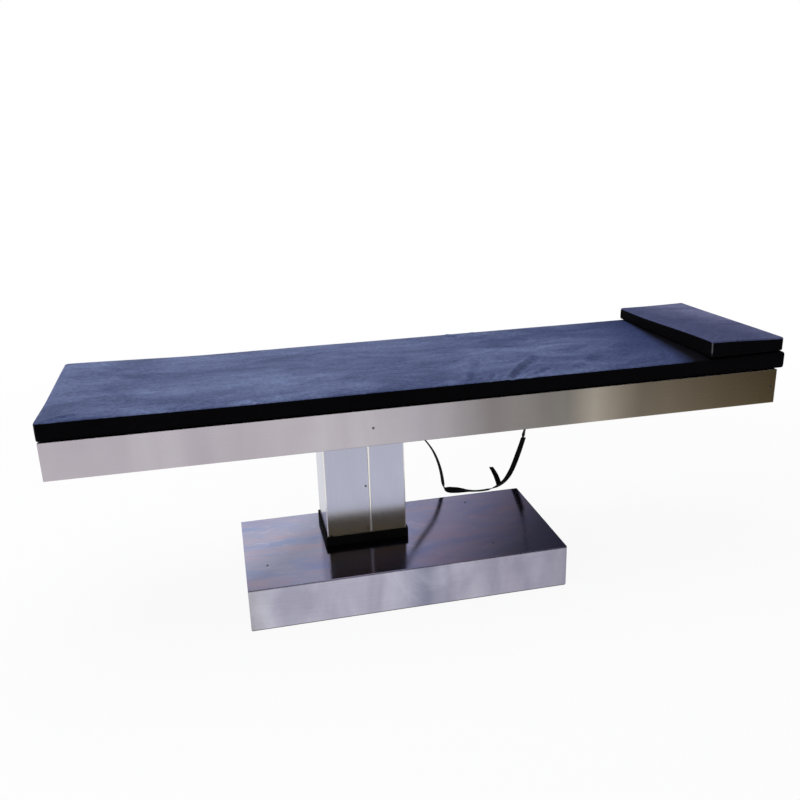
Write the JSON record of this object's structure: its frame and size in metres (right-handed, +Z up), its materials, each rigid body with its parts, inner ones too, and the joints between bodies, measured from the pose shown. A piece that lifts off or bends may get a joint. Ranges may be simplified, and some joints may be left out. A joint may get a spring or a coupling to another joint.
{
  "type": "operating table",
  "caption": "Operating table with a long flat padded top and head cushion on a box column and low base, raised by a telescopic mast and tilted both ways by a geared gimbal head.",
  "frame": {"origin": "on the floor under the middle of the top, on the underside of the base plate", "axes": "+X along the top towards the head cushion, +Y across it towards the rear side, where the strap hangs, +Z up"},
  "size_m": [2.033, 0.5513, 0.684],
  "materials": {
    "brushed_stainless": "vertical brushed stainless sheet",
    "polished_stainless": "fine brushed, near mirror",
    "screw_steel": "bright plated",
    "frame_paint": "black powder coat",
    "cast_iron": "painted casting",
    "ground_steel": "ground",
    "chrome": "hard chrome",
    "bronze": "turned",
    "glide_plastic": "moulded",
    "black_rubber": "matte moulded",
    "housing_plastic": "moulded",
    "motor_paint": "semi-gloss",
    "leatherette": "fine-grained soft sheen",
    "hook_and_loop": "napped",
    "webbing": "flat woven"
  },
  "bodies": {
    "base": {"bottom_plate": "frame_paint", "base_frame": "frame_paint", "tie_bars": "frame_paint", "base_standoffs": "screw_steel", "base_top": "polished_stainless", "base_top_screws": "screw_steel", "base_front_panel": "brushed_stainless", "base_rear_panel": "brushed_stainless", "base_left_panel": "brushed_stainless", "base_right_panel": "brushed_stainless", "mast_foot_plate": "frame_paint", "mast_bolts": "screw_steel", "ballast_blocks": "cast_iron", "control_box": "housing_plastic", "battery_pack": "housing_plastic", "outer_mast": "frame_paint", "upper_glide": "glide_plastic", "lift_cylinder": "ground_steel", "lift_gland": "ground_steel", "dust_sleeve": "brushed_stainless", "foot_collar": "black_rubber"},
    "lift_carriage": {"head_yoke": "cast_iron", "inner_mast": "frame_paint", "lower_glide": "glide_plastic", "lift_rod": "chrome", "column_cover_left": "brushed_stainless", "column_cover_right": "brushed_stainless", "column_cover_screws": "screw_steel", "pitch_bushes": "bronze", "pitch_gearmotor": "motor_paint"},
    "pitch_drive": {"pitch_pinion": "ground_steel"},
    "tilt_cradle": {"gimbal_ring": "cast_iron", "pitch_trunnions": "ground_steel", "roll_trunnions": "ground_steel", "pitch_sector": "ground_steel", "roll_motor_bracket": "frame_paint", "roll_gearmotor": "motor_paint"},
    "roll_drive": {"roll_pinion": "ground_steel"},
    "tabletop": {"cross_bars": "frame_paint", "cushion_fastener_strips": "hook_and_loop", "deck_sheet": "brushed_stainless", "foot_end_skirt": "brushed_stainless", "front_rail": "frame_paint", "front_skirt": "brushed_stainless", "head_cushion": "leatherette", "head_end_skirt": "brushed_stainless", "pad_fastener_strips": "hook_and_loop", "rear_rail": "frame_paint", "rear_skirt": "brushed_stainless", "restraint_strap": "webbing", "roll_bushes": "bronze", "roll_sector": "ground_steel", "saddle": "cast_iron", "skirt_brackets": "frame_paint", "skirt_screws": "screw_steel", "strap_anchors": "ground_steel", "strap_link": "motor_paint", "strap_tail": "webbing", "table_pad": "leatherette"}
  },
  "joints": [
    {"name": "lift", "type": "slide", "parent": "base", "child": "lift_carriage", "axis": [0, 0, 1], "range_m": [0, 0.26]},
    {"name": "trendelenburg", "type": "hinge", "parent": "lift_carriage", "child": "tilt_cradle", "pos_m": [-0.1805, 0, 0.537], "axis": [0, 1, 0], "range_deg": [-10, 10]},
    {"name": "side_tilt", "type": "hinge", "parent": "tilt_cradle", "child": "tabletop", "pos_m": [-0.1805, 0, 0.537], "axis": [1, 0, 0], "range_deg": [-10, 10]},
    {"name": "pitch_pinion_turn", "type": "hinge", "parent": "lift_carriage", "child": "pitch_drive", "pos_m": [-0.1805, 0.079, 0.485], "axis": [0, 1, 0], "range_deg": [-33.4, 33.4]},
    {"name": "roll_pinion_turn", "type": "hinge", "parent": "tilt_cradle", "child": "roll_drive", "pos_m": [-0.0745, 0, 0.485], "axis": [1, 0, 0], "range_deg": [-33.4, 33.4]}
  ],
  "couplings": [
    {"joint": "pitch_pinion_turn", "follows": "trendelenburg", "ratio": -3.3333},
    {"joint": "roll_pinion_turn", "follows": "side_tilt", "ratio": -3.3333}
  ]
}
